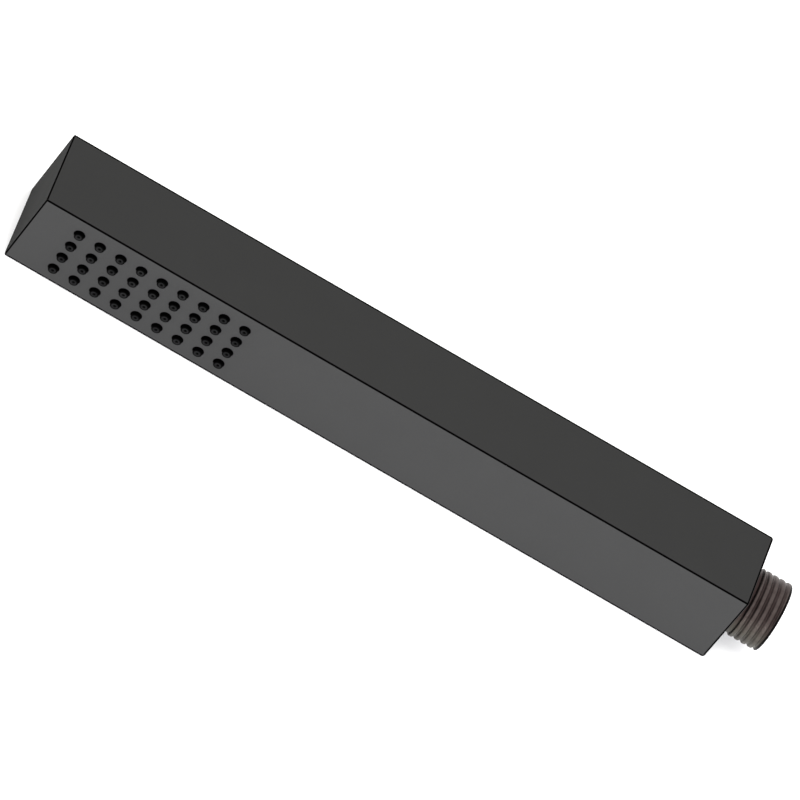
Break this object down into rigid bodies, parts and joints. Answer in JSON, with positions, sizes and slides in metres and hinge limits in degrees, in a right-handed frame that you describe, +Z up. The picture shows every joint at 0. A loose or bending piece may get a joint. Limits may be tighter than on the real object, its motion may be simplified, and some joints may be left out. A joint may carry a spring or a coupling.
{
  "type": "hand shower",
  "caption": "Straight stick hand shower of rectangular section, with rubber spray nozzles near one end of one face and a male threaded inlet at the other end.",
  "frame": {"origin": "on the surface the shower lies on, under the middle of its bounding box; the long side that faces down in the picture's pose lies on that surface", "axes": "+X along the bar from the closed head end to the threaded inlet, -Y the way the nozzles spray, +Z up"},
  "size_m": [0.2362, 0.0277, 0.028],
  "materials": {
    "body_paint": "matt black paint on brass",
    "nipple_brass": "dark brown, fine turned",
    "nozzle_rubber": "matt black silicone",
    "seal_rubber": "black seal rubber",
    "channel_plastic": "moulded dark plastic",
    "valve_plastic": "moulded white acetal",
    "regulator_plastic": "moulded green acetal",
    "strainer_plastic": "moulded dark plastic",
    "spring_steel": "drawn stainless wire",
    "mesh_steel": "woven stainless wire"
  },
  "bodies": {
    "handle": {"body": "body_paint", "end_block": "body_paint", "end_block_seal": "seal_rubber", "inlet_nipple": "nipple_brass", "nipple_o_ring": "seal_rubber", "nozzle_mat": "nozzle_rubber", "distributor_plate": "channel_plastic", "chamber_gasket": "seal_rubber", "water_channel": "channel_plastic", "check_valve_housing": "valve_plastic", "check_valve_o_ring": "seal_rubber", "check_valve_guide": "valve_plastic", "check_valve_spring": "spring_steel", "flow_regulator_housing": "regulator_plastic", "flow_regulator_core": "regulator_plastic", "flow_regulator_ring": "seal_rubber", "strainer_frame": "strainer_plastic", "strainer_mesh": "mesh_steel"},
    "poppet": {"check_valve_poppet": "valve_plastic", "check_valve_lip_seal": "seal_rubber"}
  },
  "joints": [
    {"name": "check_valve_lift", "type": "slide", "parent": "handle", "child": "poppet", "axis": [-1, 0, 0], "range_m": [0, 0.0024], "stiffness_N_per_m": 120, "springref_m": -0.002, "deforming": ["check_valve_spring"]}
  ]
}
